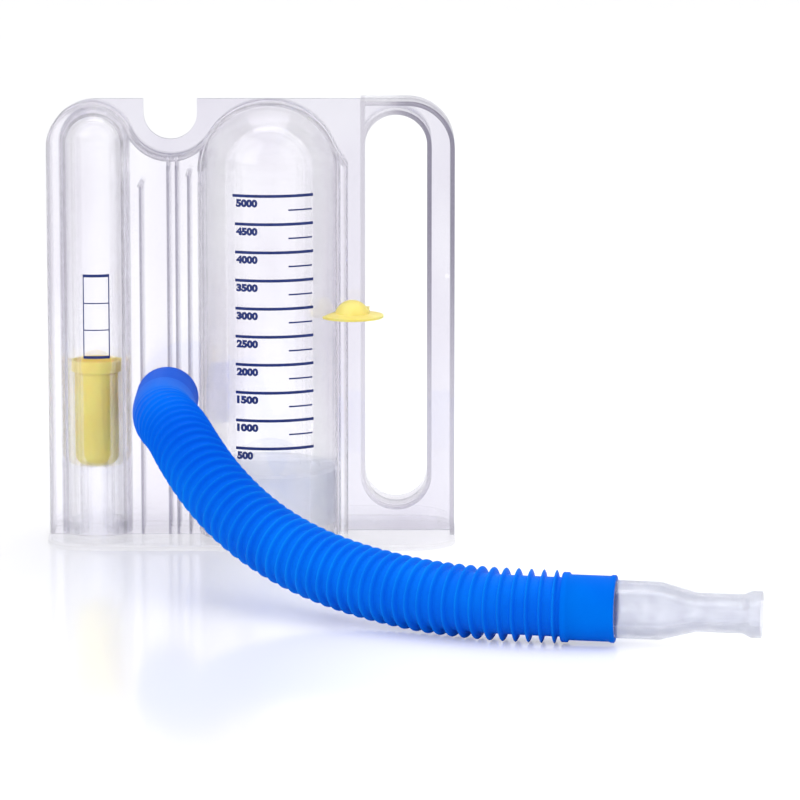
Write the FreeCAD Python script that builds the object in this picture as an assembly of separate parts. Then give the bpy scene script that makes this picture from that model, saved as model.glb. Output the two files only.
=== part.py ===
import FreeCAD, Part
import math
import os

# Volumetric breathing exerciser: a clear case of two welded shells on a foot plate, with a flow
# cup in the left tube, a piston in the wide chamber, a goal pointer on the handle's rail and a
# corrugated hose with a mouthpiece. Millimetres, +Z up, front towards -Y, origin at the bottom
# centre of the case.

V = FreeCAD.Vector

# Case outline
case_width = 182.0            # over the outer walls
case_top = 198.4              # top edge of the flange web
wall = 2.0                    # moulded wall of the shells
web_thickness = 1.2           # flange web of each shell, two of them back to back
body_half_depth = 10.0        # front face of the flat body, from the weld plane
handle_half_depth = 12.0      # front edge of the handle's rims, from the weld plane
rim_wall = 2.0                # thickness of the handle's rims
corner_left = 22.0            # top corner of the web beside the flow tube
corner_right = 21.0           # top corner of the web at the handle
edge_round = 1.9              # rounded edge of the flat body's front face

# Foot plate
base_overhang = 0.5           # beyond the case at each end
base_depth = 72.0
base_thickness = 2.4
base_corner = 20.0
base_edge = 0.7               # softened upper edge
plug_wall = 1.8               # locating rings that stand inside the tubes
plug_gap = 0.15
plug_top = 7.7                # height of the rings' upper edge
vent_radius = 2.0
vent_ring = 18.0
vent_count = 6

# Flow tube on the left
flow_inset = 21.0             # axis of the tube from the case's left side
flow_bore = 13.8              # radius
flow_dome_z = 179.2           # centre of the domed end
column_radius = 19.4          # rounded column of the flat body round the tube
column_top = 196.8

# Volume chamber in the middle
chamber_inset = 99.0          # axis of the chamber from the case's left side
chamber_bore = 30.0           # radius
chamber_dome_z = 165.7
strip_width = 3.2             # flat strip to the right of the chamber
strip_rise = 3.0              # the strip's top corner, above the centre of the dome
strip_angle = 21.0            # where the strip leaves the dome, degrees above the dome's centre

# Rest notch for the mouthpiece in the top web
saddle_radius = 19.3          # wall that sweeps from the tube to the chamber under the notch
notch_radius = 12.0

# Centre panel
rib_thickness = 1.0
duct_offset = 2.5             # air duct from the port up to the saddle wall, right of the port's axis
duct_width = 3.8
left_rib_offset = 11.7        # left of the port's axis
left_rib_top = 160.0
right_rib_offset = 9.8        # right of the port's axis
right_rib_top = 165.0
rib_post = 1.3                # radius of the post at a rib's top
air_slot_half = 3.0           # half depth of the slots from the panel into tube and chamber
air_slot_height = 6.0
air_slot_z = 166.0

# Hose port
port_inset = 53.5             # axis of the port from the case's left side
port_z = 65.4
port_bore = 9.0               # radius
port_outer = 10.9             # radius that the hose cuff pushes over
port_flange = 13.4
port_flange_thickness = 2.0
port_reach = 24.0             # from the panel's face to the stub's end
port_spigot = 9.9             # radius of the end that is welded into the panel
port_fit = 0.1

# Handle opening
rail_distance = 7.8           # from the chamber's strip to the opening
handle_bar = 12.3             # from the opening to the case's right side
opening_bottom = 16.0
opening_top = 192.5
gate_mark = 1.2               # radius of the moulding's gate mark on the bar
gate_mark_height = 0.4
gate_mark_inset = 3.2         # from the case's right side
gate_mark_z = 118.6

# Flow seat and flow cup
seat_outer = 8.0
seat_wall = 1.4
seat_foot_height = 3.0
seat_fin_count = 4
seat_fin_thickness = 1.2
seat_top = 32.8
cup_rest_gap = 0.3
cup_body = 9.8
cup_lip = 11.2
cup_lip_height = 5.0
cup_height = 48.0
cup_wall = 1.0
cup_bottom_round = 5.0

# Volume piston
piston_gap = 0.35             # running gap to the bore
piston_bottom = 8.0
piston_height = 24.9
piston_skirt = 1.2
piston_crown = 1.6
piston_bevel = 1.4
piston_dish = 1.0             # depth of the dish in the crown
piston_dish_radius = 22.0
piston_boss_radius = 4.0
piston_boss_length = 6.0

# Goal pointer
pointer_offset = 4.7          # middle of the disc, left of the rail's middle
pointer_reach = 17.0          # middle of the disc, in front of the weld plane
pointer_z = 103.0             # middle of the disc
pointer_radius = 14.0
pointer_rim = 1.0             # thickness at the disc's edge
pointer_crown = 2.6           # thickness added at the disc's centre
pointer_hub_radius = 8.0
pointer_hub_height = 7.2      # above the middle of the disc
pointer_jaw_height = 2.6      # above the middle of the disc
pointer_jaw_depth = 7.0       # grip on the rail behind its front edge
pointer_jaw_width = 1.8
pointer_gap = 0.2
pointer_shell_gap = 0.5

# Hose
hose_outer = 15.1             # radius over the ridges
hose_bore = 11.05             # radius of the bore
cuff_outer = 13.9             # cuff on the port
cuff_length = 28.0
cuff_edge = 0.8
mouth_cuff_outer = 13.5
mouth_cuff_length = 22.0
mouth_cuff_bead = 15.1        # radius of the bead where the ridges end
mouth_cuff_bead_width = 3.0
mouth_cuff_lip = 13.9
mouth_cuff_lip_width = 2.0

# The hose's course, chosen by hand: out of the port's cuff, down and round to the right, and then
# along the table. Across from the port's axis, in front of the weld plane, and height.
hose_course = [
    (0.0, 62.0, 65.4),
    (7.0, 85.2, 64.1),
    (13.7, 108.6, 57.7),
    (25.0, 129.5, 46.0),
    (41.0, 148.5, 34.0),
    (61.5, 166.0, 24.3),
    (85.0, 183.5, 18.6),
    (110.5, 201.0, 15.8),
    (133.5, 213.0, 15.3),
    (154.5, 219.0, 15.3),
    (170.4, 221.2, 15.15),
]
arc_share = 0.45

# Mouthpiece, along its own axis from the end of the cuff
mouth_spigot_length = 18.0
mouth_spigot_gap = 0.1
mouth_barrel = 11.9
mouth_barrel_length = 18.0
mouth_taper_length = 15.0
mouth_neck_wide = 10.5        # half width of the oval part for the lips
mouth_neck_tall = 7.9
mouth_neck_length = 19.0
mouth_lip_wide = 12.4
mouth_lip_tall = 9.5
mouth_lip_length = 3.5
mouth_end_length = 4.0
mouth_wall = 1.5

# Worked out from the sizes above
half_width = case_width / 2
base_width = case_width + 2 * base_overhang
flow_x = -half_width + flow_inset
flow_outer = flow_bore + wall
column_x = -half_width + column_radius
column_z = column_top - column_radius
chamber_x = -half_width + chamber_inset
chamber_outer = chamber_bore + wall
strip_x = chamber_x + chamber_outer + strip_width
port_x = -half_width + port_inset
duct_x = port_x + duct_offset
left_rib_x = port_x - left_rib_offset
right_rib_x = port_x + right_rib_offset
opening_left = strip_x + rail_distance
opening_right = half_width - handle_bar
opening_radius = (opening_right - opening_left) / 2
opening_x = (opening_right + opening_left) / 2
panel_face = -body_half_depth
piston_radius = chamber_bore - piston_gap
seat_inner = seat_outer - seat_wall
pointer_x = opening_left - rim_wall / 2 - pointer_offset
pointer_y = -pointer_reach
cuff_foot_y = panel_face - port_flange_thickness
# The tube is straight runs between these points, joined by arcs as large as the runs allow.
hose_route = [V(port_x, cuff_foot_y - cuff_length, port_z)]
hose_route += [V(port_x + across, -front, height) for across, front, height in hose_course]


def saddle_centre():
    """Centre of the arc that touches both the column's and the chamber's round tops."""
    reach_left = column_radius + saddle_radius
    reach_right = chamber_outer + saddle_radius
    dx = chamber_x - column_x
    dz = chamber_dome_z - column_z
    apart = math.hypot(dx, dz)
    along = (reach_left ** 2 - reach_right ** 2 + apart ** 2) / (2 * apart)
    aside = math.sqrt(reach_left ** 2 - along ** 2)
    ux, uz = dx / apart, dz / apart
    return column_x + along * ux - aside * uz, column_z + along * uz + aside * ux


saddle_x, saddle_z = saddle_centre()


def point(x, z):
    return V(x, 0, z)


def line(a, b):
    return Part.LineSegment(a, b).toShape()


def arc(a, middle, b):
    return Part.Arc(a, middle, b).toShape()


def on_circle(x, z, radius, angle):
    return point(x + radius * math.cos(angle), z + radius * math.sin(angle))


def circle_arc(x, z, radius, start, end):
    return arc(
        on_circle(x, z, radius, start),
        on_circle(x, z, radius, (start + end) / 2),
        on_circle(x, z, radius, end),
    )


def plate(edges, half_depth):
    """Closed outline in the weld plane, thickened the same amount to front and rear."""
    face = Part.Face(Part.Wire(edges))
    face.translate(V(0, half_depth, 0))
    return face.extrude(V(0, -2 * half_depth, 0))


def box(x0, y0, z0, x1, y1, z1):
    return Part.makeBox(x1 - x0, y1 - y0, z1 - z0, V(x0, y0, z0))


def body_outline(inset):
    """Outline of the flat body, or the same line moved inwards by inset."""
    left = -half_width + inset
    right = strip_x - inset
    column_r = column_radius - inset
    saddle_r = saddle_radius + inset
    dome_r = chamber_outer - inset
    to_left = math.atan2(column_z - saddle_z, column_x - saddle_x)
    to_right = math.atan2(chamber_dome_z - saddle_z, chamber_x - saddle_x)
    on_column = on_circle(column_x, column_z, column_r, to_left + math.pi)
    on_dome = on_circle(chamber_x, chamber_dome_z, dome_r, to_right + math.pi)
    leave = math.radians(strip_angle)
    dome_end = on_circle(chamber_x, chamber_dome_z, dome_r, leave)
    strip_top = point(right, chamber_dome_z + strip_rise)
    foot_left = point(left, base_thickness)
    foot_right = point(right, base_thickness)
    column_start = point(left, column_z)
    return [
        line(foot_left, column_start),
        circle_arc(column_x, column_z, column_r, math.pi, to_left + math.pi),
        arc(
            on_column,
            on_circle(saddle_x, saddle_z, saddle_r, (to_left + to_right) / 2),
            on_dome,
        ),
        circle_arc(chamber_x, chamber_dome_z, dome_r, to_right + math.pi, leave),
        line(dome_end, strip_top),
        line(strip_top, foot_right),
        line(foot_right, foot_left),
    ]


def web_outline():
    """Outline of the whole case as the flange web shows it."""
    right = half_width
    return [
        line(point(-right, base_thickness), point(-right, case_top - corner_left)),
        circle_arc(-right + corner_left, case_top - corner_left, corner_left, math.pi, math.pi / 2),
        line(point(-right + corner_left, case_top), point(right - corner_right, case_top)),
        circle_arc(right - corner_right, case_top - corner_right, corner_right, math.pi / 2, 0),
        line(point(right, case_top - corner_right), point(right, base_thickness)),
        line(point(right, base_thickness), point(-right, base_thickness)),
    ]


def handle_outline(inset):
    """Outline of the handle side: bottom, right edge, top corner and top edge."""
    left = opening_left - rim_wall
    right = half_width - inset
    top = case_top - inset
    radius = corner_right - inset
    bottom = base_thickness
    return [
        line(point(left, bottom), point(left, top)),
        line(point(left, top), point(right - radius, top)),
        circle_arc(right - radius, top - radius, radius, math.pi / 2, 0),
        line(point(right, top - radius), point(right, bottom)),
        line(point(right, bottom), point(left, bottom)),
    ]


def opening_outline(grow):
    """Finger opening with round ends, or the same line moved outwards by grow."""
    radius = opening_radius + grow
    low = opening_bottom + opening_radius
    high = opening_top - opening_radius
    return [
        line(point(opening_x - radius, low), point(opening_x - radius, high)),
        circle_arc(opening_x, high, radius, math.pi, 0),
        line(point(opening_x + radius, high), point(opening_x + radius, low)),
        circle_arc(opening_x, low, radius, 0, -math.pi),
    ]


def notch_outline():
    top = case_top + wall
    left = point(saddle_x - notch_radius, saddle_z)
    right = point(saddle_x + notch_radius, saddle_z)
    return [
        line(point(saddle_x - notch_radius, top), left),
        circle_arc(saddle_x, saddle_z, notch_radius, -math.pi, 0),
        line(right, point(saddle_x + notch_radius, top)),
        line(point(saddle_x + notch_radius, top), point(saddle_x - notch_radius, top)),
    ]


def domed_tube(x, radius, dome_z, foot_z):
    """Upright cylinder with a half-round top."""
    tube = Part.makeCylinder(radius, dome_z - foot_z, V(x, 0, foot_z))
    dome = Part.makeSphere(radius, V(x, 0, dome_z), V(0, 0, 1), 0, 90, 360)
    return tube.fuse(dome).removeSplitter()


def face_edges(solid, y):
    """Edges of the flat front or rear face at y, without the one along the foot."""
    found = []
    for edge in solid.Edges:
        box_of = edge.BoundBox
        flat = abs(box_of.YMin - y) < 1e-6 and abs(box_of.YMax - y) < 1e-6
        if flat and box_of.ZMax > base_thickness + 1e-6:
            found.append(edge)
    return found


def flat_body():
    body = plate(body_outline(0), body_half_depth)
    rounded = face_edges(body, body_half_depth) + face_edges(body, -body_half_depth)
    return body.makeFillet(edge_round, rounded)


def panel_void():
    """Hollow of the flat body round the tube and the chamber, with the panel's ribs left in."""
    void = plate(body_outline(wall), body_half_depth - wall)
    void = void.cut(domed_tube(flow_x, flow_outer, flow_dome_z, base_thickness))
    void = void.cut(domed_tube(chamber_x, chamber_outer, chamber_dome_z, base_thickness))
    deep = body_half_depth
    half = rib_thickness / 2
    for x, top in (
        (left_rib_x, left_rib_top),
        (duct_x - duct_width / 2, case_top),
        (duct_x + duct_width / 2, case_top),
        (right_rib_x, right_rib_top),
    ):
        foot = port_z if top == case_top else base_thickness
        void = void.cut(box(x - half, -deep, foot, x + half, deep, top))
    for x, top in ((left_rib_x, left_rib_top), (right_rib_x, right_rib_top)):
        void = void.cut(Part.makeCylinder(rib_post, 2 * deep, V(x, -deep, top), V(0, 1, 0)))
    return void


def air_slots():
    """Slots that join the panel's hollow to the tube and to the chamber."""
    low, high = air_slot_z, air_slot_z + air_slot_height
    deep = air_slot_half
    to_tube = box(flow_x + flow_bore - wall, -deep, low, flow_x + flow_outer + wall, deep, high)
    to_chamber = box(chamber_x - chamber_outer - wall, -deep, low - air_slot_height,
                     chamber_x - chamber_bore + wall, deep, high - air_slot_height)
    return to_tube.fuse(to_chamber)


def case_body():
    """Both shells in one, before they are parted in the weld plane."""
    body = flat_body()
    body = body.fuse(plate(web_outline(), web_thickness))
    rim = plate(handle_outline(0), handle_half_depth)
    rim = rim.cut(plate(handle_outline(rim_wall), handle_half_depth + wall))
    ring = plate(opening_outline(rim_wall), handle_half_depth)
    rail = box(opening_left - rim_wall, -handle_half_depth, (opening_bottom + opening_top) / 2,
               opening_left, handle_half_depth, case_top - rim_wall / 2)
    mark = Part.makeCylinder(gate_mark, web_thickness + gate_mark_height,
                             V(half_width - gate_mark_inset, 0, gate_mark_z), V(0, -1, 0))
    body = body.fuse([
        domed_tube(flow_x, flow_outer, flow_dome_z, base_thickness),
        domed_tube(chamber_x, chamber_outer, chamber_dome_z, base_thickness),
        rim,
        ring,
        rail,
        mark,
    ])
    port_hole = Part.makeCylinder(port_spigot + port_fit, 2 * wall,
                                  V(port_x, panel_face - wall / 2, port_z), V(0, 1, 0))
    body = body.cut([
        panel_void(),
        domed_tube(flow_x, flow_bore, flow_dome_z, base_thickness - wall),
        domed_tube(chamber_x, chamber_bore, chamber_dome_z, base_thickness - wall),
        plate(opening_outline(0), handle_half_depth + wall),
        plate(notch_outline(), handle_half_depth + wall),
        air_slots(),
        port_hole,
    ])
    return body


def shell(body, side):
    """One of the two shells: side is -1 for the front and 1 for the rear."""
    reach = 2 * case_width
    low, high = (-reach, 0) if side < 0 else (0, reach)
    return body.common(box(-reach, low, -reach, reach, high, reach))


def ring_of(x, outer, inner, low, high):
    solid = Part.makeCylinder(outer, high - low, V(x, 0, low))
    return solid.cut(Part.makeCylinder(inner, high - low, V(x, 0, low)))


def base_plate():
    """Foot plate with the rings that locate the tubes and the vents under the piston."""
    half_x, half_y = base_width / 2, base_depth / 2
    slab = box(-half_x, -half_y, 0, half_x, half_y, base_thickness)
    upright = [e for e in slab.Edges if e.BoundBox.ZLength > base_thickness / 2]
    slab = slab.makeFillet(base_corner, upright)
    upper = [e for e in slab.Edges if e.BoundBox.ZMin > base_thickness - 1e-6]
    slab = slab.makeFillet(base_edge, upper)
    chamber_ring = chamber_bore - plug_gap
    flow_ring = flow_bore - plug_gap
    slab = slab.fuse([
        ring_of(chamber_x, chamber_ring, chamber_ring - plug_wall, base_thickness / 2, plug_top),
        ring_of(flow_x, flow_ring, flow_ring - plug_wall, base_thickness / 2, plug_top),
    ])
    vents = []
    for i in range(vent_count):
        turn = 2 * math.pi * i / vent_count
        centre = V(chamber_x + vent_ring * math.cos(turn), vent_ring * math.sin(turn), -base_thickness)
        vents.append(Part.makeCylinder(vent_radius, 3 * base_thickness, centre))
    return slab.cut(vents)


def hose_port():
    """Stub that the hose pushes onto, welded into the centre panel."""
    axis = V(0, -1, 0)
    inner_y = panel_face + wall
    spigot = Part.makeCylinder(port_spigot, wall, V(port_x, inner_y, port_z), axis)
    flange = Part.makeCylinder(port_flange, port_flange_thickness, V(port_x, panel_face, port_z), axis)
    stub = Part.makeCylinder(port_outer, port_reach, V(port_x, panel_face, port_z), axis)
    bore = Part.makeCylinder(port_bore, port_reach + 2 * wall, V(port_x, inner_y + wall / 2, port_z), axis)
    return spigot.fuse([flange, stub]).cut(bore).removeSplitter()


def revolved(profile, x):
    """Closed radius and height points turned about the upright axis at x."""
    points = [V(r + x, 0, z) for r, z in profile]
    face = Part.Face(Part.makePolygon(points + [points[0]]))
    return face.revolve(V(x, 0, 0), V(0, 0, 1), 360)


def flow_seat():
    """Finned pedestal that holds the flow cup above the tube's inlet."""
    foot = base_thickness
    fin_reach = flow_bore - plug_gap - plug_wall - plug_gap
    seat = ring_of(flow_x, seat_outer, seat_inner, foot, seat_top)
    fins = []
    for i in range(seat_fin_count):
        fin = box(flow_x, -seat_fin_thickness / 2, foot,
                  flow_x + fin_reach, seat_fin_thickness / 2, foot + seat_foot_height)
        fin.rotate(V(flow_x, 0, 0), V(0, 0, 1), 360 * (i + 0.5) / seat_fin_count)
        fins.append(fin)
    inside = Part.makeCylinder(seat_inner, seat_top, V(flow_x, 0, foot))
    return seat.fuse(fins).cut(inside).removeSplitter()


def seat_bite():
    """How far in from the corner of the cup's rounded bottom the seat's inner edge touches it."""
    return max(0.0, seat_inner - (cup_body - cup_bottom_round))


def flow_cup():
    """Light cup that the air lifts up the flow tube."""
    drop = cup_bottom_round - math.sqrt(cup_bottom_round ** 2 - seat_bite() ** 2)
    low = seat_top + cup_rest_gap - drop
    high = low + cup_height
    lip_low = high - cup_lip_height
    flare = cup_lip - cup_body
    outer = [
        (0, low), (cup_body, low), (cup_body, lip_low - flare / 2),
        (cup_lip, lip_low), (cup_lip, high), (0, high),
    ]
    inner = [
        (0, low + cup_wall), (cup_body - cup_wall, low + cup_wall),
        (cup_body - cup_wall, lip_low - flare / 2), (cup_lip - cup_wall, lip_low + cup_wall / 2),
        (cup_lip - cup_wall, high + cup_wall), (0, high + cup_wall),
    ]
    cup = revolved(outer, flow_x)
    cup = cup.makeFillet(cup_bottom_round, circles_at(cup, low, cup_body))
    hollow = revolved(inner, flow_x)
    hollow = hollow.makeFillet(cup_bottom_round - cup_wall,
                               circles_at(hollow, low + cup_wall, cup_body - cup_wall))
    return cup.cut(hollow)


def circles_at(solid, z, radius):
    found = []
    for edge in solid.Edges:
        round_edge = hasattr(edge.Curve, "Radius") and abs(edge.Curve.Radius - radius) < 1e-6
        if round_edge and abs(edge.BoundBox.ZMin - z) < 1e-6 and abs(edge.BoundBox.ZMax - z) < 1e-6:
            found.append(edge)
    return found


def volume_piston():
    """Thin crown and skirt that rise in the chamber, with a dished top."""
    low = piston_bottom
    high = low + piston_height
    r = piston_radius
    inner = r - piston_skirt
    dish = piston_dish_radius
    under = high - piston_crown - piston_dish
    profile = [
        (r, low), (r, high - piston_bevel), (r - piston_bevel, high),
        (dish + piston_dish, high), (dish, high - piston_dish), (0, high - piston_dish),
        (0, under - piston_boss_length), (piston_boss_radius, under - piston_boss_length),
        (piston_boss_radius, under), (dish, under), (inner, under), (inner, low),
    ]
    return revolved(profile, chamber_x)


def goal_pointer():
    """Saucer-shaped marker whose jaws grip the front edge of the handle's left rim."""
    half_rim = pointer_rim / 2
    half_crown = (pointer_rim + pointer_crown) / 2
    rise = half_crown - half_rim
    curve = (pointer_radius ** 2 + rise ** 2) / (2 * rise)
    side = Part.makeCylinder(pointer_radius, 2 * half_crown, V(pointer_x, pointer_y, pointer_z - half_crown))
    above = Part.makeSphere(curve, V(pointer_x, pointer_y, pointer_z + half_crown - curve))
    below = Part.makeSphere(curve, V(pointer_x, pointer_y, pointer_z - half_crown + curve))
    disc = side.common(above).common(below)
    hub_curve = (pointer_hub_radius ** 2 + pointer_hub_height ** 2) / (2 * pointer_hub_height)
    hub = Part.makeSphere(hub_curve, V(pointer_x, pointer_y, pointer_z + pointer_hub_height - hub_curve))
    hub = hub.common(Part.makeCylinder(pointer_hub_radius, pointer_hub_height, V(pointer_x, pointer_y, pointer_z)))
    rail_left = opening_left - rim_wall
    rail_front = -handle_half_depth
    jaw_back = rail_front + pointer_jaw_depth
    jaws = box(rail_left - pointer_gap - pointer_jaw_width, pointer_y, pointer_z - half_crown,
               opening_left + pointer_gap + pointer_jaw_width, jaw_back,
               pointer_z + pointer_jaw_height)
    upright = [e for e in jaws.Edges if e.BoundBox.ZLength > half_crown]
    jaws = jaws.makeFillet(pointer_jaw_width / 2, upright)
    body = disc.fuse([hub, jaws])
    low, high = pointer_z - pointer_radius, pointer_z + pointer_radius
    rail = box(rail_left - pointer_gap, rail_front - pointer_gap, low, opening_left + pointer_gap, 0, high)
    strip = box(0, panel_face - pointer_shell_gap, low, strip_x + pointer_shell_gap, 0, high)
    chamber = Part.makeCylinder(chamber_outer + pointer_shell_gap, high - low, V(chamber_x, 0, low))
    behind = box(0, jaw_back, low, half_width, 0, high)
    return body.cut([rail, strip, chamber, behind])


def rounded_path(points):
    """Straight runs joined by arcs that touch them. Returns the edges and the radii."""
    edges, radii = [], []
    here = points[0]
    for before, corner, after in zip(points, points[1:], points[2:]):
        back = before - corner
        on = after - corner
        turn = math.pi - back.getAngle(on)
        reach = arc_share * min(back.Length, on.Length)
        radius = reach / math.tan(turn / 2)
        start = corner + back.normalize() * reach
        end = corner + on.normalize() * reach
        inward = (back + on).normalize()
        middle = corner + inward * (radius / math.cos(turn / 2) - radius)
        edges.append(line(here, start))
        edges.append(arc(start, middle, end))
        radii.append(radius)
        here = end
    edges.append(line(here, points[-1]))
    return edges, radii


def hose_tube():
    """The flexible stretch between the two cuffs, as a plain tube with its bore."""
    edges, radii = rounded_path(hose_route)
    path = Part.Wire(edges)
    start = hose_route[0]
    out = hose_route[1] - start
    rim = Part.Wire(Part.Circle(start, out, hose_outer).toShape())
    hole = Part.Wire(Part.Circle(start, out, hose_bore).toShape())
    tube = path.makePipeShell([rim], True, False)
    tube = tube.cut(path.makePipeShell([hole], True, False))
    section = math.pi * (hose_outer ** 2 - hose_bore ** 2)
    print("hose length %.1f mm" % path.Length)
    print("hose radii " + " ".join("%.0f" % r for r in radii))
    print("hose volume / (section x length) %.4f" % (tube.Volume / (section * path.Length)))
    return tube


def hose_cuff_case():
    """Smooth cuff on the port."""
    foot = V(port_x, cuff_foot_y, port_z)
    axis = V(0, -1, 0)
    cuff = Part.makeCylinder(cuff_outer, cuff_length, foot, axis)
    cuff = cuff.makeFillet(cuff_edge, [e for e in cuff.Edges if abs(e.BoundBox.YMin - foot.y) < 1e-6])
    return cuff.cut(Part.makeCylinder(hose_bore, cuff_length, foot, axis))


def mouth_axis():
    return (hose_route[-1] - hose_route[-2]).normalize()


def hose_cuff_mouth():
    """Smooth cuff at the far end, with a bead where the ridges stop and a lip at its mouth."""
    foot = hose_route[-1]
    axis = mouth_axis()
    cuff = Part.makeCylinder(mouth_cuff_outer, mouth_cuff_length, foot, axis)
    bead = Part.makeCylinder(mouth_cuff_bead, mouth_cuff_bead_width, foot, axis)
    lip_foot = foot + axis * (mouth_cuff_length - mouth_cuff_lip_width)
    lip = Part.makeCylinder(mouth_cuff_lip, mouth_cuff_lip_width, lip_foot, axis)
    return cuff.fuse([bead, lip]).cut(Part.makeCylinder(hose_bore, mouth_cuff_length, foot, axis))


def oval(wide, tall, along):
    """Oval section of the mouthpiece, its axis along +Z for now and its width along X."""
    if abs(wide - tall) < 1e-6:
        return Part.Wire(Part.Circle(V(0, 0, along), V(0, 0, 1), wide).toShape())
    return Part.Wire(Part.Ellipse(V(wide, 0, along), V(0, tall, along), V(0, 0, along)).toShape())


def mouth_form(thinner):
    """Barrel, taper, oval neck and flared lip, each section less by thinner."""
    barrel_end = mouth_barrel_length
    taper_end = barrel_end + mouth_taper_length
    neck_end = taper_end + mouth_neck_length
    flare_end = neck_end + mouth_lip_length
    barrel = mouth_barrel - thinner
    neck = (mouth_neck_wide - thinner, mouth_neck_tall - thinner)
    lip = (mouth_lip_wide - thinner, mouth_lip_tall - thinner)
    ends = [
        (barrel, barrel, 0), (barrel, barrel, barrel_end), (neck[0], neck[1], taper_end),
        (neck[0], neck[1], neck_end), (lip[0], lip[1], flare_end),
        (lip[0], lip[1], flare_end + mouth_end_length),
    ]
    pieces = []
    for (wide0, tall0, z0), (wide1, tall1, z1) in zip(ends, ends[1:]):
        pieces.append(Part.makeLoft([oval(wide0, tall0, z0), oval(wide1, tall1, z1)], True, True))
    return pieces[0].fuse(pieces[1:])


def mouthpiece():
    """Push-in mouthpiece: a round spigot in the cuff and an oval end for the lips."""
    spigot_radius = hose_bore - mouth_spigot_gap
    spigot = Part.makeCylinder(spigot_radius, mouth_spigot_length, V(0, 0, -mouth_spigot_length))
    body = mouth_form(0).fuse(spigot)
    bore = Part.makeCylinder(spigot_radius - mouth_wall, mouth_spigot_length + 1, V(0, 0, -mouth_spigot_length - 1))
    body = body.cut([mouth_form(mouth_wall), bore])
    axis = mouth_axis()
    yaw = math.degrees(math.atan2(axis.y, axis.x))
    pitch = math.degrees(math.acos(axis.z))
    # The section's width turns from X to the level direction across the axis.
    turn = FreeCAD.Rotation(V(0, 0, 1), yaw) * FreeCAD.Rotation(V(0, 1, 0), pitch) * FreeCAD.Rotation(V(0, 0, 1), 90)
    body.Placement = FreeCAD.Placement(hose_route[-1] + axis * mouth_cuff_length, turn)
    return body


def build():
    body = case_body()
    return {
        "case_front": shell(body, -1),
        "case_rear": shell(body, 1),
        "base_plate": base_plate(),
        "hose_port": hose_port(),
        "flow_seat": flow_seat(),
        "flow_cup": flow_cup(),
        "volume_piston": volume_piston(),
        "goal_pointer": goal_pointer(),
        "hose_cuff_case": hose_cuff_case(),
        "hose_tube": hose_tube(),
        "hose_cuff_mouth": hose_cuff_mouth(),
        "mouthpiece": mouthpiece(),
    }


os.makedirs("parts", exist_ok=True)
for name, shape in build().items():
    if len(shape.Solids) == 1:
        shape = shape.Solids[0]
    bounds = shape.BoundBox
    print("%-16s solids %d valid %s volume %.0f  x %.1f %.1f  y %.1f %.1f  z %.1f %.1f" % (
        name, len(shape.Solids), shape.isValid(), shape.Volume, bounds.XMin, bounds.XMax,
        bounds.YMin, bounds.YMax, bounds.ZMin, bounds.ZMax))
    shape.exportStep("parts/%s.step" % name)
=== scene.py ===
import math

import bmesh
import bpy
import numpy as np
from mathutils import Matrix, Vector


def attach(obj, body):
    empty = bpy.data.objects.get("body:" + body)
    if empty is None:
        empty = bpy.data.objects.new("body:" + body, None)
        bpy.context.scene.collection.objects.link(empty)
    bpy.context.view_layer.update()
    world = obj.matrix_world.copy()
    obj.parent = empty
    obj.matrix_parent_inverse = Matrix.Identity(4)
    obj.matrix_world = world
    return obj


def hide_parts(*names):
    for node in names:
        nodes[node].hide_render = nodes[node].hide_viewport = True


# Clear volumetric breathing exerciser with its blue hose. Metres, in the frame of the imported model.

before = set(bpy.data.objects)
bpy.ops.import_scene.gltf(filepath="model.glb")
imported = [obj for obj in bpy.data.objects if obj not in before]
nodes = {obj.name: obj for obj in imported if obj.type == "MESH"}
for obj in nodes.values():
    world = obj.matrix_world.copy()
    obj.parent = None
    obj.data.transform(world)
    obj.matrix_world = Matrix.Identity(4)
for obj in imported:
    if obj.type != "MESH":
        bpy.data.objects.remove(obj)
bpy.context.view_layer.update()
print("frame:", len(nodes), "nodes")

scene = bpy.context.scene
scene.view_settings.view_transform = "Standard"
scene.cycles.max_bounces = 20               # the clear walls lie up to ten deep
scene.cycles.transmission_bounces = 20
scene.cycles.transparent_max_bounces = 40

# Camera

cameraLook = {
    "target": (0.0666, 0.0, 0.06196),   # point at the middle of the image
    "elevation": 10.0,                  # degrees above the level
    "distance": 2.25225,
    "lens": 225.0,                      # mm, on a sensor 36 mm wide
}


def makeCamera(look):
    # the camera stands on a circle in the plane x = target x, at the elevation's angle
    angle = math.radians(look["elevation"])
    back = Vector((0.0, -math.cos(angle), math.sin(angle)))
    data = bpy.data.cameras.new("camera")
    data.lens = look["lens"]
    data.sensor_width = 36.0
    data.clip_start = 0.05
    data.clip_end = 50.0
    camera = bpy.data.objects.new("camera", data)
    camera.location = Vector(look["target"]) + back * look["distance"]
    camera.rotation_euler = (-back).to_track_quat("-Z", "Y").to_euler()
    scene.collection.objects.link(camera)
    scene.camera = camera


makeCamera(cameraLook)
print("camera placed")

# Colours and material helpers


def toLinear(hexColour):
    # sRGB to linear: c / 12.92 up to 0.04045, else ((c + 0.055) / 1.055) ** 2.4
    parts = np.array([int(hexColour[i:i + 2], 16) / 255 for i in (1, 3, 5)])
    linear = np.where(parts <= 0.04045, parts / 12.92, ((parts + 0.055) / 1.055) ** 2.4)
    return (*linear.tolist(), 1.0)


def addNode(tree, kind, settings=None, inputs=None, links=None):
    # one node with its settings, its inputs' values and its links from other nodes' outputs
    node = tree.nodes.new(kind)
    for name, value in (settings or {}).items():
        setattr(node, name, value)
    for name, value in (inputs or {}).items():
        node.inputs[name].default_value = value
    for name, (source, output) in (links or {}).items():
        tree.links.new(source.outputs[output], node.inputs[name])
    return node


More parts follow.
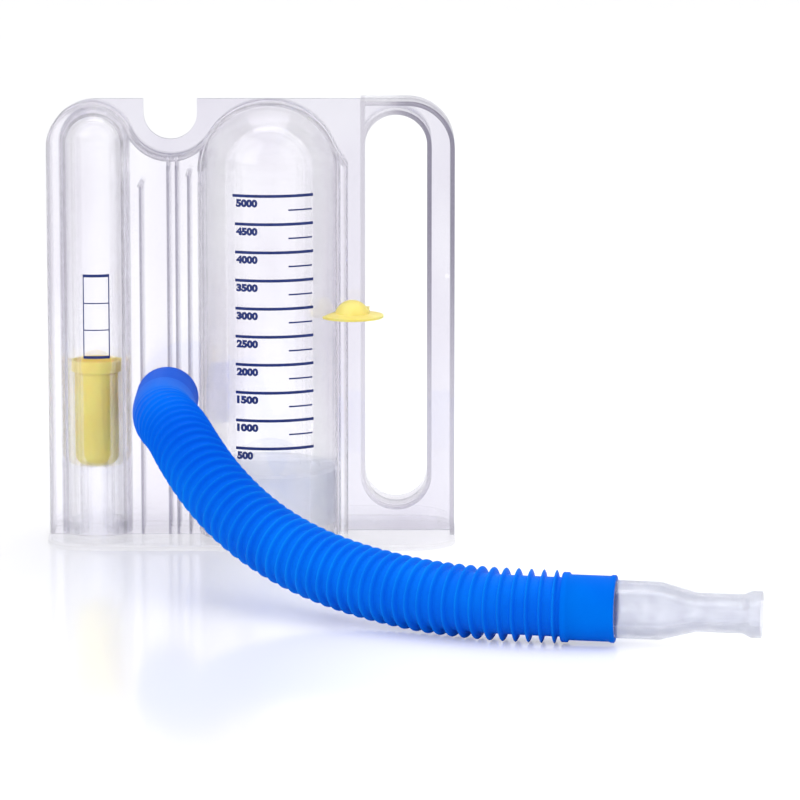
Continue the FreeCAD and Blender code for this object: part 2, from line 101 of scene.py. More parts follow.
def newMaterial(name, principled):
    # a material with one Principled shader, whose constant values are set on its own sockets;
    # gives the material, its tree, the shader, the output and the coordinates
    material = bpy.data.materials.new(name)
    material.use_nodes = True
    tree = material.node_tree
    tree.nodes.clear()
    shader = addNode(tree, "ShaderNodeBsdfPrincipled", inputs=principled)
    output = addNode(tree, "ShaderNodeOutputMaterial", links={"Surface": (shader, "BSDF")})
    place = addNode(tree, "ShaderNodeTexCoord")
    return material, tree, shader, output, place


def addMath(tree, operation, *values):
    # a value is a number, or a node with the name of its output
    node = addNode(tree, "ShaderNodeMath", {"operation": operation})
    for i, value in enumerate(values):
        if isinstance(value, tuple):
            tree.links.new(value[0].outputs[value[1]], node.inputs[i])
        else:
            node.inputs[i].default_value = value
    return node


def addTint(tree, source, tint, share=None):
    # the source's colour times the tint, a colour or a node's output, as far as the share goes
    node = addNode(tree, "ShaderNodeMix", {"data_type": "RGBA", "blend_type": "MULTIPLY"})
    tree.links.new(source[0].outputs[source[1]], node.inputs[6])
    if isinstance(tint, str):
        node.inputs[7].default_value = toLinear(tint)
    else:
        tree.links.new(tint[0].outputs[tint[1]], node.inputs[7])
    if share is None:
        node.inputs[0].default_value = 1.0
    else:
        tree.links.new(share[0].outputs[share[1]], node.inputs[0])
    return node, 2


def addBump(tree, shader, height, output, distance, strength):
    bump = addNode(tree, "ShaderNodeBump", inputs={"Distance": distance, "Strength": strength},
                   links={"Height": (height, output)})
    tree.links.new(bump.outputs["Normal"], shader.inputs["Normal"])


def addRamp(tree, source, output, stops):
    # colour ramp from a list of (position, sRGB colour)
    ramp = addNode(tree, "ShaderNodeValToRGB", links={"Fac": (source, output)})
    elements = ramp.color_ramp.elements
    while len(elements) > 1:
        elements.remove(elements[-1])
    elements[0].position = stops[0][0]
    elements[0].color = toLinear(stops[0][1])
    for position, colour in stops[1:]:
        elements.new(position).color = toLinear(colour)
    return ramp


def addNoise(tree, place, size, detail=2.0, stretch=(1.0, 1.0, 1.0)):
    # noise whose grain is about size metres; stretch below 1 makes it longer on that axis
    mapping = addNode(tree, "ShaderNodeMapping", inputs={"Scale": stretch},
                      links={"Vector": (place, "Object")})
    return addNode(tree, "ShaderNodeTexNoise", inputs={"Scale": 1.0 / size, "Detail": detail},
                   links={"Vector": (mapping, "Vector")})


# Materials

clearLook = {
    "dark": "#F8F7FA",
    "light": "#FEFEFF",
    "depthColour": "#D0CDD5",   # what a long way through the plastic turns white light to
    "depthLength": 0.031,       # metres of plastic that do so
    "rimShade": "#BAB8C2",     # painted shade: what multiplies the tint on the front faces of the handle's rims
    "rimDepth": 0.0119,
    "rimLeft": 0.0445,          # the painted shade on the rims begins here, pale, and is at its darkest from rimDark on
    "rimPale": 0.057,
    "rimDark": 0.071,
    "rimLeftShare": 0.14,       # share of the tint that the pale end keeps
    "rimLow": 0.04,             # height where they are pale again, and height where they aren't
    "rimHigh": 0.15,
    "rimLowShare": 0.28,
    "webShade": "#F1F0F4",     # painted shade, likewise, on the flat web round the tubes
    "webDepth": 0.0012,
    "slack": 0.0001,            # metres that a face may lie off such a depth
    "edgeShade": "#BEBEC6",    # painted shade on the web's thin edges
    "ribShade": "#D2D1D8",     # painted shade where the panel's ribs stand behind its face
    "ribDepth": 0.0079,
    "ribHalf": 0.0006,
    "ribs": [(-0.0492, 0.160), (-0.0369, 0.1695), (-0.0331, 0.1695), (-0.0277, 0.165)],   # x and top
    "saddleShade": "#C6C5CC",  # painted shade on the wall under the notch, within half a width of its middle
    "saddleMiddle": (-0.0375, 0.0046, 0.1763),
    "saddleHalf": (0.0165, 0.0032, 0.0098),
    "roughness": 0.03,
    "ior": 1.59,
    "wave": 0.020,          # metres, grain of the moulding's slow waves
    "waveDepth": 0.00010,
    "through": 0.40,        # share of light that goes straight through, which softens dark edges
    "shade": 0.985,         # light that one surface lets through to what it shades
}


def paintedShadePlaces(tree, place, tint, look):
    # painted shade, greyer as thick mouldings seen edge-on look: rims, web, its edges, ribs, wall of the
    # notch
    parts = addNode(tree, "ShaderNodeSeparateXYZ", links={"Vector": (place, "Object")})
    depth = addMath(tree, "ABSOLUTE", (parts, "Y"))
    past = addMath(tree, "GREATER_THAN", (depth, "Value"), look["rimDepth"])
    handle = addMath(tree, "GREATER_THAN", (parts, "X"), look["rimLeft"])
    right = addNode(tree, "ShaderNodeMapRange", {"interpolation_type": "SMOOTHSTEP"}, {
        "From Min": look["rimPale"], "From Max": look["rimDark"],
        "To Min": look["rimLeftShare"],
    }, {"Value": (parts, "X")})
    upper = addNode(tree, "ShaderNodeMapRange", {"interpolation_type": "SMOOTHSTEP"}, {
        "From Min": look["rimLow"], "From Max": look["rimHigh"],
        "To Min": look["rimLowShare"],
    }, {"Value": (parts, "Z")})
    # painted shade on the rims' front faces, paler to the left and low down
    rim = addMath(tree, "MULTIPLY", (past, "Value"), (handle, "Value"))
    rim = addMath(tree, "MULTIPLY", (rim, "Value"), (right, "Result"))
    rim = addMath(tree, "MULTIPLY", (rim, "Value"), (upper, "Result"))
    tint = addTint(tree, tint, look["rimShade"], (rim, "Value"))
    # painted shade on the web's faces
    web = addMath(tree, "COMPARE", (depth, "Value"), look["webDepth"], look["slack"])
    tint = addTint(tree, tint, look["webShade"], (web, "Value"))
    # painted shade on the web's edge-on faces
    edge = addMath(tree, "LESS_THAN", (depth, "Value"), look["webDepth"] - look["slack"])
    tint = addTint(tree, tint, look["edgeShade"], (edge, "Value"))
    # painted shade on the panel's ribs
    outer = addMath(tree, "GREATER_THAN", (depth, "Value"), look["ribDepth"])
    for x, top in look["ribs"]:
        across = addMath(tree, "COMPARE", (parts, "X"), x, look["ribHalf"])
        below = addMath(tree, "LESS_THAN", (parts, "Z"), top)
        rib = addMath(tree, "MULTIPLY", (across, "Value"), (below, "Value"))
        rib = addMath(tree, "MULTIPLY", (rib, "Value"), (outer, "Value"))
        tint = addTint(tree, tint, look["ribShade"], (rib, "Value"))
    # painted shade on the wall under the notch
    inside = []
    for source, middle, half in zip([(parts, "X"), (depth, "Value"), (parts, "Z")],
                                    look["saddleMiddle"], look["saddleHalf"]):
        inside.append(addMath(tree, "COMPARE", source, middle, half))
    saddle = addMath(tree, "MULTIPLY", (inside[0], "Value"), (inside[1], "Value"))
    saddle = addMath(tree, "MULTIPLY", (saddle, "Value"), (inside[2], "Value"))
    return addTint(tree, tint, look["saddleShade"], (saddle, "Value"))


def clearPlastic(name, look, thick=True):
    # injection-moulded clear polystyrene: faint uneven tint, slow waves in the surface
    material, tree, shader, output, place = newMaterial(name, {
        "Roughness": look["roughness"],
        "IOR": look["ior"],
        "Transmission Weight": 1.0,
    })
    cloud = addNoise(tree, place, look["wave"] * 1.5, 1.0, (1.0, 1.0, 0.4))
    ramp = addRamp(tree, cloud, "Fac", [(0.35, look["dark"]), (0.65, look["light"])])
    tint = (ramp, "Color")
    # thick adds the painted shade of the thick and edge-on places
    if thick:
        tint = paintedShadePlaces(tree, place, tint, look)
    tree.links.new(tint[0].outputs[tint[1]], shader.inputs["Base Color"])
    wave = addNoise(tree, place, look["wave"], 1.0, (1.0, 1.0, 0.5))
    addBump(tree, shader, wave, "Fac", look["waveDepth"], 0.35)
    letThrough(tree, shader, output, tint, look)
    # absorption a = density * (1 - colour), with exp(-a * length) = the depth colour
    depth = np.array(toLinear(look["depthColour"])[:3])
    loss = -np.log(depth) / look["depthLength"]
    density = float(loss.max()) / 0.9       # any share below 1 keeps the colour above black
    colour = (*(1.0 - loss / density).tolist(), 1.0)
    inner = addNode(tree, "ShaderNodeVolumeAbsorption", inputs={"Color": colour, "Density": density})
    tree.links.new(inner.outputs["Volume"], output.inputs["Volume"])
    return material


def letThrough(tree, shader, output, tint, look):
    # part of the light goes straight through, and lamps shine through the whole surface
    clear = addNode(tree, "ShaderNodeBsdfTransparent", links={"Color": tint})
    soft = addNode(tree, "ShaderNodeMixShader", inputs={"Fac": look["through"]})
    tree.links.new(shader.outputs["BSDF"], soft.inputs[1])
    tree.links.new(clear.outputs["BSDF"], soft.inputs[2])
    shade = look["shade"]
    lamp = addNode(tree, "ShaderNodeBsdfTransparent", inputs={"Color": (shade, shade, shade, 1.0)})
    ray = addNode(tree, "ShaderNodeLightPath")
    both = addNode(tree, "ShaderNodeMixShader", links={"Fac": (ray, "Is Shadow Ray")})
    tree.links.new(soft.outputs["Shader"], both.inputs[1])
    tree.links.new(lamp.outputs["BSDF"], both.inputs[2])
    tree.links.new(both.outputs["Shader"], output.inputs["Surface"])


milkyLook = {
    "dark": "#E9EAF0",
    "light": "#F4F5F9",
    "roughness": 0.16,
    "ior": 1.51,
    "transmission": 0.94,
    "through": 0.50,
    "shade": 0.85,
    "cloud": 0.006,
    "grain": 0.0006,
    "grainDepth": 0.00003,
}
# a copy of the milky plastic, painted lighter to make up for the light lost inside the chamber, and rougher
# and less clear
pistonLook = {**milkyLook, "dark": "#EEF1F8", "light": "#F9FAFD", "roughness": 0.30, "transmission": 0.80}


def milkyPlastic(name, look):
    # natural low-density polyethylene: translucent, cloudy, with a fine satin grain
    material, tree, shader, output, place = newMaterial(name, {
        "IOR": look["ior"],
        "Transmission Weight": look["transmission"],
    })
    cloud = addNoise(tree, place, look["cloud"], 3.0)
    ramp = addRamp(tree, cloud, "Fac", [(0.3, look["dark"]), (0.7, look["light"])])
    tree.links.new(ramp.outputs["Color"], shader.inputs["Base Color"])
    rough = addNode(tree, "ShaderNodeMapRange", inputs={
        "To Min": look["roughness"] - 0.06, "To Max": look["roughness"] + 0.06,
    }, links={"Value": (cloud, "Fac")})
    tree.links.new(rough.outputs["Result"], shader.inputs["Roughness"])
    grain = addNoise(tree, place, look["grain"], 2.0)
    addBump(tree, shader, grain, "Fac", look["grainDepth"], 0.5)
    letThrough(tree, shader, output, (ramp, "Color"), look)
    return material


def opaquePlastic(name, look, ribbed=False):
    # coloured moulded plastic: colour that drifts slowly, roughness that follows a fine grain;
    # ribbed adds painted shade by the mesh's own ridge value, 0 in the grooves and 1 on the crests
    material, tree, shader, output, place = newMaterial(name, {
        "IOR": look["ior"],
        "Subsurface Weight": look["under"],
        "Subsurface Radius": look["underRadius"],
        "Subsurface Scale": 0.002,
        "Specular IOR Level": look["specular"],
        "Specular Tint": toLinear(look["sheen"]),
    })
    drift = addNoise(tree, place, look["drift"], 2.0)
    ramp = addRamp(tree, drift, "Fac", [(0.3, look["dark"]), (0.7, look["light"])])
    colour = (ramp, "Color")
    # painted shade high up, graded by height
    if "high" in look:
        parts = addNode(tree, "ShaderNodeSeparateXYZ", links={"Vector": (place, "Object")})
        high = addNode(tree, "ShaderNodeMapRange", {"interpolation_type": "SMOOTHSTEP"}, {
            "From Min": look["highFrom"], "From Max": look["highTo"],
        }, {"Value": (parts, "Z")})
        colour = addTint(tree, colour, look["high"], (high, "Result"))
    if ribbed:
        ridge = addNode(tree, "ShaderNodeAttribute", {"attribute_name": "ridge"})
        stops = [(0.0, look["groove"]), (0.55, look["flank"]), (1.0, look["crest"])]
        height = addRamp(tree, ridge, "Fac", stops)
        colour = addTint(tree, colour, (height, "Color"))
    tree.links.new(colour[0].outputs[colour[1]], shader.inputs["Base Color"])
    grain = addNoise(tree, place, look["grain"], 2.0)
    rough = addNode(tree, "ShaderNodeMapRange", inputs={
        "To Min": look["roughness"] - 0.05, "To Max": look["roughness"] + 0.05,
    }, links={"Value": (grain, "Fac")})
    tree.links.new(rough.outputs["Result"], shader.inputs["Roughness"])
    addBump(tree, shader, grain, "Fac", look["grainDepth"], 0.5)
    return material


blueLook = {
    "dark": "#0A7BF0",
    "light": "#0A8DF9",
    "roughness": 0.46,
    "ior": 1.50,
    "specular": 0.04,
    "sheen": "#5AA0FF",
    "under": 0.0,
    "underRadius": (0.1, 0.4, 1.0),
    "drift": 0.030,
    "grain": 0.0008,
    "grainDepth": 0.00003,
    "groove": "#DEE9F8",    # painted shade: what multiplies the colour in the grooves, on the flanks and on the crests
    "flank": "#F0F5FD",
    "crest": "#FFFFFF",
    "high": "#90D4F4",      # and, as painted shade, high up, where the lamps are nearer
    "highFrom": 0.035,
    "highTo": 0.066,
}
cuffLook = {**blueLook, "dark": "#0066E2", "light": "#0075EE", "specular": 0.02}
yellowLook = {
    "dark": "#F0DC6C",
    "light": "#F8EA88",
    "roughness": 0.40,
    "ior": 1.50,
    "specular": 0.45,
    "sheen": "#FFFFFF",
    "under": 0.35,
    "underRadius": (1.0, 0.7, 0.2),
    "drift": 0.012,
    "grain": 0.0006,
    "grainDepth": 0.00002,
}
# a copy of the yellow, painted lighter to make up for the light lost inside the tube, and warmer in hue
cupLook = {**yellowLook, "dark": "#FFDE6C", "light": "#FFEA7A", "under": 0.7}
inkLook = {
    "dark": "#1B2A63",
    "light": "#26387C",
    "roughness": 0.45,
    "ior": 1.50,
    "specular": 0.3,
    "sheen": "#FFFFFF",
    "under": 0.0,
    "underRadius": (1.0, 0.2, 0.1),
    "drift": 0.0012,
    "grain": 0.0003,
    "grainDepth": 0.000005,
}

footLook = {**clearLook, "dark": "#FDFDFE", "depthLength": 0.08}
clearMaterial = clearPlastic("clear moulded polystyrene", clearLook)
footMaterial = clearPlastic("clear moulded polystyrene, fittings", footLook, thick=False)
milkyMaterial = milkyPlastic("milky moulded polyethylene", milkyLook)
pistonMaterial = milkyPlastic("clouded moulded polypropylene", pistonLook)
blueMaterial = opaquePlastic("blue moulded EVA", cuffLook)
ribbedMaterial = opaquePlastic("blue moulded EVA, ribbed", blueLook, ribbed=True)
yellowMaterial = opaquePlastic("yellow moulded polypropylene", yellowLook)
cupMaterial = opaquePlastic("yellow moulded polypropylene, painted lighter", cupLook)
inkMaterial = opaquePlastic("navy pad-printed ink", inkLook)
print("materials made")

# Mesh helpers


def addMesh(name, points, faces, material, body, smooth=True):
    # points is an array of n by 3, faces a list of rows of point numbers
    mesh = bpy.data.meshes.new(name)
    mesh.from_pydata(points.tolist(), [], faces)
    mesh.update()
    if smooth:
        mesh.shade_smooth()
    mesh.materials.append(material)
    piece = bpy.data.objects.new(name, mesh)
    scene.collection.objects.link(piece)
    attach(piece, body)
    return piece


def gridFaces(rows, columns, closed):
    # list of quads between the points of a grid; closed joins each row's last point to its first
    across = columns if closed else columns - 1
    i, j = np.meshgrid(np.arange(rows - 1), np.arange(across), indexing="ij")
    k = (j + 1) % columns
    return np.stack([i * columns + j, i * columns + k, (i + 1) * columns + k, (i + 1) * columns + j],
                    axis=-1).reshape(-1, 4).tolist()


def sweep(path, tangent, radius, around):
    # ring k of the tube is path[k] + radius[k] * (cos a * side[k] + sin a * up[k])
    side = np.cross(tangent, (0.0, 0.0, 1.0))
    side /= np.linalg.norm(side, axis=1, keepdims=True)
    up = np.cross(side, tangent)
    angle = np.linspace(0, 2 * math.pi, around, endpoint=False)
    ring = np.cos(angle)[None, :, None] * side[:, None, :] + np.sin(angle)[None, :, None] * up[:, None, :]
    return (path[:, None, :] + radius[:, None, None] * ring).reshape(-1, 3)


# Hose

hoseLook = {
    "route": [
        (-0.0375, -0.0400, 0.0654), (-0.0375, -0.0620, 0.0654), (-0.0305, -0.0852, 0.0641),
        (-0.0238, -0.1086, 0.0577), (-0.0125, -0.1295, 0.0460), (0.0035, -0.1485, 0.0340),
        (0.0240, -0.1660, 0.0243), (0.0475, -0.1835, 0.0186), (0.0730, -0.2010, 0.0158),
        (0.0960, -0.2130, 0.0153), (0.1170, -0.2190, 0.0153), (0.1329, -0.2212, 0.01515),
    ],
    "ridge": 0.0151,        # radius over the ridges
    "groove": 0.0122,       # radius between them
    "plain": 0.0139,        # radius of the smooth start, as the cuff's
    "bore": 0.01105,
    "pitch": 0.0053,
    "startPlain": 0.016,    # smooth length before the first ridge
    "growth": 0.090,        # length over which the first ridges grow to their height
    "growthPower": 0.8,
    "sharpness": 7.0,       # above 1 makes the ridges narrower than their grooves
    "plainShade": 0.6,       # place of the smooth start between groove and crest in painted shade
    "perPitch": 18,         # rings to one ridge
    "around": 76,
}


def hoseLine(route):
    # the route's points are the control points of one smooth spline
    curve = bpy.data.curves.new("hoseLine", "CURVE")
    curve.dimensions = "3D"
    spline = curve.splines.new("NURBS")
    spline.points.add(len(route) - 1)
    spline.points.foreach_set("co", np.array([(*p, 1.0) for p in route]).ravel())
    spline.order_u = 3
    spline.use_endpoint_u = True
    spline.resolution_u = 48
    holder = bpy.data.objects.new("hoseLine", curve)
    scene.collection.objects.link(holder)
    bpy.context.view_layer.update()
    mesh = bpy.data.meshes.new_from_object(holder)
    line = np.zeros(len(mesh.vertices) * 3)
    mesh.vertices.foreach_get("co", line)
    bpy.data.objects.remove(holder)
    bpy.data.curves.remove(curve)
    bpy.data.meshes.remove(mesh)
    return line.reshape(-1, 3)


def resample(line, count):
    # the same line at count even steps of its length, and the length
    steps = np.linalg.norm(np.diff(line, axis=0), axis=1)
    along = np.concatenate([[0.0], np.cumsum(steps)])
    even = np.linspace(0, along[-1], count)
    points = np.stack([np.interp(even, along, line[:, i]) for i in range(3)], axis=1)
    return points, even, along[-1]


def makeHose(look):
    # rings along the line for the outside, then back again with wider steps for the bore
    line = hoseLine(look["route"])
    length = resample(line, 2)[2]
    count = int(length / look["pitch"] * look["perPitch"])
    path, along, length = resample(line, count)
    tangent = np.gradient(path, along, axis=0)
    tangent /= np.linalg.norm(tangent, axis=1, keepdims=True)
    # ridges: groove + (ridge - groove) * (half of 1 - cos of the phase) ** sharpness
    ridges = math.floor((length - look["startPlain"]) / look["pitch"])
    first = length - ridges * look["pitch"]
    phase = (along - first) / look["pitch"]
    wave = (0.5 - 0.5 * np.cos(2 * math.pi * phase)) ** look["sharpness"]
    grown = np.clip((along - first) / look["growth"], 0, 1) ** look["growthPower"]
    groove = look["plain"] + (look["groove"] - look["plain"]) * grown
    crest = look["plain"] + (look["ridge"] - look["plain"]) * grown
    radius = np.where(phase < 0, look["plain"], groove + (crest - groove) * wave)
    outside = sweep(path, tangent, radius, look["around"])
    # the bore runs from the end back to the start, so its normals point into the bore
    back = path[:: -look["perPitch"]]
    inside = sweep(back, tangent[:: -look["perPitch"]], np.full(len(back), look["bore"]), look["around"])
    points = np.concatenate([outside, inside])
    faces = gridFaces(len(path) + len(back), look["around"], True)
    piece = addMesh("hoseTube", points, faces, ribbedMaterial, "case")
    # the ridge value for the painted shade: low in the grooves, high on the crests
    tone = np.where(phase < 0, look["plainShade"], wave * grown + look["plainShade"] * (1 - grown))
    ridge = np.zeros(len(points))
    ridge[:len(outside)] = np.repeat(tone, look["around"])
    piece.data.attributes.new("ridge", "FLOAT", "POINT").data.foreach_set("value", ridge)
    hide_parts("hose_tube")
    print("hose: %.1f mm, %d ridges" % (length * 1000, ridges))
    return piece, path, length


hosePiece, hosePath, hoseLength = makeHose(hoseLook)

# Cuff at the mouthpiece

mouthCuffLook = {
    "length": 0.022,
    "outer": 0.0135,
    "bore": 0.01105,
    "bead": 0.0144,         # radius of the bead where the ridges stop
    "beadWidth": 0.0030,
    "lip": 0.0139,          # radius at the mouth
    "lipWidth": 0.0020,
    "round": 0.0004,        # softening of the steps
    "sharpAngle": 50.0,     # degrees
    "around": 88,
}


def makeMouthCuff(look, path):
    # profile of (distance along the axis, radius) from the hose's end, run round that axis
    axis = path[-1] - path[-2]
    axis /= np.linalg.norm(axis)
    low, high, edge = 0.0, look["length"], look["round"]
    bead, lip = look["beadWidth"], look["length"] - look["lipWidth"]
    profile = np.array([
        (low, look["bore"]), (low, look["bead"] - edge), (edge, look["bead"]), (bead - edge, look["bead"]),
        (bead + edge, look["outer"]), (lip - edge, look["outer"]), (lip + edge, look["lip"]),
        (high - edge, look["lip"]), (high, look["lip"] - edge), (high, look["bore"]), (low, look["bore"]),
    ])
    line = path[-1] + profile[:, :1] * axis
    points = sweep(line, np.tile(axis, (len(line), 1)), profile[:, 1], look["around"])
    faces = gridFaces(len(line), look["around"], True)
    piece = addMesh("cuffMouth", points, faces, blueMaterial, "case")
    piece.data.set_sharp_from_angle(angle=math.radians(look["sharpAngle"]))
    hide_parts("hose_cuff_mouth")
    return piece


cuffMouth = makeMouthCuff(mouthCuffLook, hosePath)
print("cuff made")

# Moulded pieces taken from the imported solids


def dressNodes(name, nodeNames, material, body, smoothAngle=32.0, weld=False,
               nudge=(0.0, 0.0, 0.0)):
    # a merged and smoothed copy of the nodes' meshes; weld takes out the faces that two halves share
    work = bmesh.new()
    for nodeName in nodeNames:
        work.from_mesh(nodes[nodeName].data)
    bmesh.ops.remove_doubles(work, verts=work.verts, dist=2e-6)
    if weld:
        shared = [f for f in work.faces if all(abs(v.co.y) < 1e-6 for v in f.verts)]   # in the weld's plane
        bmesh.ops.delete(work, geom=shared, context="FACES")
    bmesh.ops.translate(work, verts=work.verts, vec=nudge)   # parts touching faces that lie together
    mesh = bpy.data.meshes.new(name)
    work.to_mesh(mesh)
    work.free()
    for attribute in [a for a in mesh.attributes if a.name == "custom_normal"]:
        mesh.attributes.remove(attribute)
    mesh.materials.clear()
    mesh.materials.append(material)
    mesh.shade_smooth()
    mesh.set_sharp_from_angle(angle=math.radians(smoothAngle))
    piece = bpy.data.objects.new(name, mesh)
    scene.collection.objects.link(piece)
    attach(piece, body)
    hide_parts(*nodeNames)
    return piece


hair = 0.00004      # metres between faces that touch in the solids
dressNodes("caseShells", ["case_front", "case_rear"], clearMaterial, "case", weld=True,
           nudge=(0.0, 0.0, hair))
dressNodes("basePlate", ["base_plate"], footMaterial, "case")
dressNodes("hosePort", ["hose_port"], footMaterial, "case", nudge=(0.0, -hair, 0.0))
dressNodes("flowSeat", ["flow_seat"], footMaterial, "case", nudge=(0.0, 0.0, hair))
dressNodes("flowCup", ["flow_cup"], cupMaterial, "cup")
dressNodes("volumePiston", ["volume_piston"], pistonMaterial, "piston")
dressNodes("goalPointer", ["goal_pointer"], yellowMaterial, "pointer")
dressNodes("cuffCase", ["hose_cuff_case"], blueMaterial, "case")
mouthPiece = dressNodes("mouthPiece", ["mouthpiece"], milkyMaterial, "mouth")
print("moulded pieces dressed")

# Print on the chamber and on the flow tube

scaleLook = {
    "axis": 0.0080,         # x of the chamber's axis
    "radius": 0.0320,
    "lift": 0.00005,        # height of the ink over the plastic
    "left": -0.0064,
    "right": 0.0281,
    "top": 0.1587,          # z of the highest long tick
    "step": 0.01258,
    "count": 10,
    "unit": 500,
    "thick": 0.0013,
    "topExtra": 0.0010,     # the top tick starts further left by this
    "shortLeft": 0.0173,
    "shortRight": 0.0276,
    "shortThick": 0.0007,
    "numberLeft": -0.0059,
    "numberWidth": 0.0096,
    "numberHeight": 0.0036,
    "numberDrop": 0.0008,   # gap between a tick and its number
    "bold": 0.07,           # what thickens the letterform
}
windowLook = {
    "axis": -0.0700,
    "radius": 0.0158,
    "lift": 0.00005,
    "left": -0.0748,
    "right": -0.0630,
    "low": 0.0840,
    "high": 0.1208,
    "bars": [0.0840, 0.0963, 0.1084, 0.1208],
    "thick": 0.0013,        # the lowest and highest bar
    "thin": 0.0005,         # the bars between
    "edge": 0.0005,
}


def onCylinder(flat, look):
    # x and z stay, and y = -sqrt(r^2 - (x - axis)^2) puts the point on the front of the tube
    radius = look["radius"] + look["lift"]
    depth = np.sqrt(radius ** 2 - (flat[:, 0] - look["axis"]) ** 2)
    return np.stack([flat[:, 0], -depth, flat[:, 1]], axis=1)


def bar(x0, x1, z0, z1, columns=24):
    # a flat bar as a grid of two rows, so that it can bend round the tube
    x = np.linspace(x0, x1, columns)
    flat = np.concatenate([np.stack([x, np.full(columns, z0)], axis=1),
                           np.stack([x, np.full(columns, z1)], axis=1)])
    return flat, gridFaces(2, columns, False)


def flatText(body, left, top, width, height, bold):
    # the text's mesh, scaled to the wanted box, as flat x and z
    curve = bpy.data.curves.new("text", "FONT")
    curve.body = body
    curve.resolution_u = 3
    curve.offset = bold
    holder = bpy.data.objects.new("text", curve)
    scene.collection.objects.link(holder)
    bpy.context.view_layer.update()
    mesh = bpy.data.meshes.new_from_object(holder)
    bpy.data.objects.remove(holder)
    bpy.data.curves.remove(curve)
    points = np.zeros(len(mesh.vertices) * 3)
    mesh.vertices.foreach_get("co", points)
    flat = points.reshape(-1, 3)[:, :2]
    faces = [list(p.vertices) for p in mesh.polygons]
    bpy.data.meshes.remove(mesh)
    low, high = flat.min(axis=0), flat.max(axis=0)
    share = (flat - low) / (high - low)
    return np.array([left, top - height]) + share * np.array([width, height]), faces


def printPiece(name, shapes, look, body):
    # all the flat shapes joined into one mesh on the tube's front
    faces, start = [], 0
    for flat, own in shapes:
        faces.extend([[v + start for v in f] for f in own])
        start += len(flat)
    placed = onCylinder(np.concatenate([flat for flat, own in shapes]), look)
    return addMesh(name, placed, faces, inkMaterial, body, smooth=False)


def scalePrint(look):
    shapes = []
    for i in range(look["count"]):
        z = look["top"] - i * look["step"]
        left = look["left"] - (look["topExtra"] if i == 0 else 0.0)
        half = look["thick"] / 2
        shapes.append(bar(left, look["right"], z - half, z + half))
        number = str(look["unit"] * (look["count"] - i))
        width = look["numberWidth"] * len(number) / 4
        shapes.append(flatText(number, look["numberLeft"], z - half - look["numberDrop"], width,
                               look["numberHeight"], look["bold"]))
        if i < look["count"] - 1:
            middle = z - look["step"] / 2
            half = look["shortThick"] / 2
            shapes.append(bar(look["shortLeft"], look["shortRight"], middle - half, middle + half))
    return printPiece("scalePrint", shapes, look, "case")


def windowPrint(look):
    edge, ends = look["edge"], (look["bars"][0], look["bars"][-1])
    shapes = []
    for z in look["bars"]:
        half = (look["thick"] if z in ends else look["thin"]) / 2
        shapes.append(bar(look["left"], look["right"], z - half, z + half))
    shapes.append(bar(look["left"], look["left"] + edge, look["low"], look["high"], 3))
    shapes.append(bar(look["right"] - edge, look["right"], look["low"], look["high"], 3))
    return printPiece("windowPrint", shapes, look, "case")


scalePrint(scaleLook)
windowPrint(windowLook)
print("print made")

# Studio

studioLook = {
    "floorColour": "#F4F4F6",
    "floorRoughness": 0.13,
    "liftLeft": 0.06,       # light added to the floor for the eye, left of the object's middle
    "liftRight": 0.27,      # the same, to the right
    "liftX": (0.0, 0.09),   # where the one goes over into the other
    "liftFar": 0.17,        # the same, far behind the object
    "liftY": (0.3, 2.4),
    "liftThrough": 0.20,    # light added to the floor where it is seen through the plastic
    "floorGloss": 0.5,
    "floorSize": 4.0,
    "wallHeight": 3.0,
    "bend": 0.6,
    "worldBright": 0.98,
    "worldDim": 0.86,
}


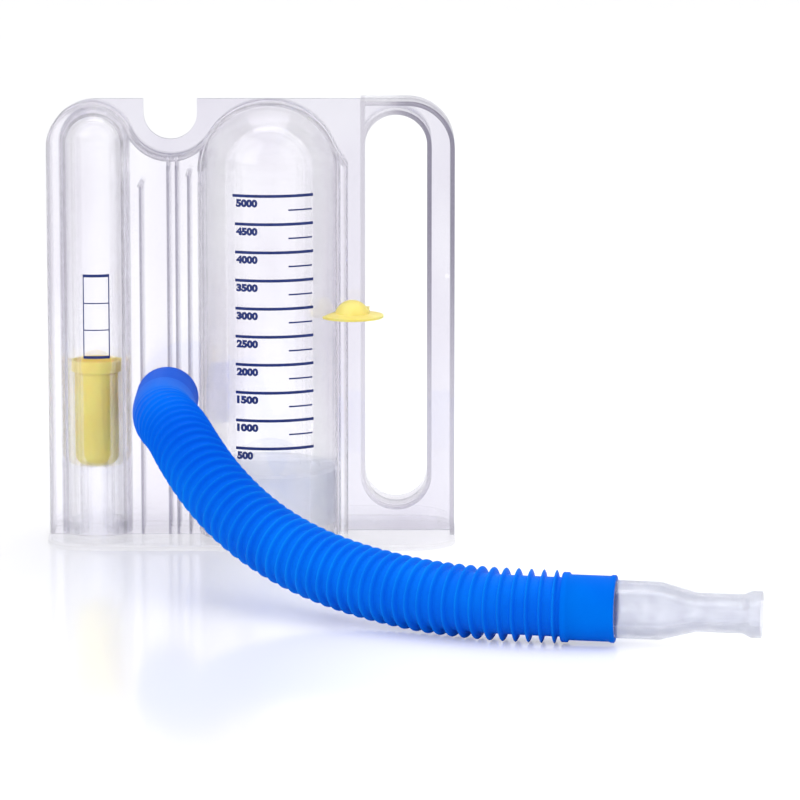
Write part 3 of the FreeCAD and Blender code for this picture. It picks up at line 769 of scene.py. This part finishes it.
def makeFloor(look):
    # a studio sweep: level floor, a quarter round and an upright wall behind, as a grid of rows
    size, bend = look["floorSize"], look["bend"]
    angle = np.linspace(0, math.pi / 2, 24)
    y = np.concatenate([[-size], size - bend + bend * np.sin(angle), [size]])
    z = np.concatenate([[0.0], bend - bend * np.cos(angle), [look["wallHeight"]]])
    x = np.array([-size, size])
    points = np.stack([np.tile(x, len(y)), np.repeat(y, 2), np.repeat(z, 2)], axis=1)
    mesh = bpy.data.meshes.new("studioSweep")
    mesh.from_pydata(points.tolist(), [], gridFaces(len(y), 2, False))
    mesh.shade_smooth()
    floor = bpy.data.objects.new("studioSweep", mesh)
    scene.collection.objects.link(floor)
    material, tree, shader, output, place = newMaterial("white studio sweep", {
        "Base Color": toLinear(look["floorColour"]),
        "Emission Color": (1.0, 1.0, 1.0, 1.0),
        "Specular IOR Level": look["floorGloss"],
    })
    noise = addNoise(tree, place, 0.2, 2.0)
    rough = addNode(tree, "ShaderNodeMapRange", inputs={
        "To Min": look["floorRoughness"] - 0.03, "To Max": look["floorRoughness"] + 0.03,
    }, links={"Value": (noise, "Fac")})
    tree.links.new(rough.outputs["Result"], shader.inputs["Roughness"])
    ray = addNode(tree, "ShaderNodeLightPath")
    parts = addNode(tree, "ShaderNodeSeparateXYZ", links={"Vector": (place, "Object")})
    near = addNode(tree, "ShaderNodeMapRange", {"interpolation_type": "SMOOTHSTEP"}, {
        "From Min": look["liftX"][0], "From Max": look["liftX"][1],
        "To Min": look["liftLeft"], "To Max": look["liftRight"],
    }, {"Value": (parts, "X")})
    lift = addNode(tree, "ShaderNodeMapRange", {"interpolation_type": "SMOOTHSTEP"}, {
        "From Min": look["liftY"][0], "From Max": look["liftY"][1], "To Max": look["liftFar"],
    }, {"Value": (parts, "Y"), "To Min": (near, "Result")})
    direct = addMath(tree, "MULTIPLY", (ray, "Is Camera Ray"), (lift, "Result"))
    inside = addMath(tree, "MULTIPLY", (ray, "Is Transmission Ray"), look["liftThrough"])
    glow = addMath(tree, "MAXIMUM", (direct, "Value"), (inside, "Value"))
    tree.links.new(glow.outputs["Value"], shader.inputs["Emission Strength"])
    mesh.materials.append(material)


def makeWorld(look):
    # white to the eye; for the rest bright ahead and behind, dimmer to the sides
    world = bpy.data.worlds.new("studio world")
    world.use_nodes = True
    tree = world.node_tree
    tree.nodes.clear()
    place = addNode(tree, "ShaderNodeTexCoord")
    parts = addNode(tree, "ShaderNodeSeparateXYZ", links={"Vector": (place, "Generated")})
    side = addMath(tree, "ABSOLUTE", (parts, "X"))
    level = addNode(tree, "ShaderNodeMapRange", {"interpolation_type": "SMOOTHSTEP"}, {
        "From Min": 0.25, "From Max": 0.9, "To Min": look["worldBright"], "To Max": look["worldDim"],
    }, {"Value": (side, "Value")})
    ray = addNode(tree, "ShaderNodeLightPath")
    shown = addMath(tree, "MAXIMUM", (level, "Result"), (ray, "Is Camera Ray"))
    back = addNode(tree, "ShaderNodeBackground", inputs={"Color": (1.0, 1.0, 1.0, 1.0)},
                   links={"Strength": (shown, "Value")})
    addNode(tree, "ShaderNodeOutputWorld", links={"Surface": (back, "Background")})
    scene.world = world


lampLook = [
    {"name": "keyLamp", "place": (-1.1, -1.3, 1.5), "size": 1.6, "power": 9.0},
    {"name": "fillLamp", "place": (1.4, -1.0, 1.0), "size": 1.6, "power": 3.0},
    {"name": "topLamp", "place": (0.0, 0.3, 1.9), "size": 1.4, "power": 6.5},
]


def makeLamps(looks):
    for look in looks:
        data = bpy.data.lights.new(look["name"], "AREA")
        data.energy = look["power"]
        data.size = look["size"]
        lamp = bpy.data.objects.new(look["name"], data)
        lamp.location = look["place"]
        aim = Vector((0.03, -0.05, 0.08)) - Vector(look["place"])
        lamp.rotation_euler = aim.to_track_quat("-Z", "Y").to_euler()
        scene.collection.objects.link(lamp)


makeFloor(studioLook)
makeWorld(studioLook)
makeLamps(lampLook)
print("studio made")
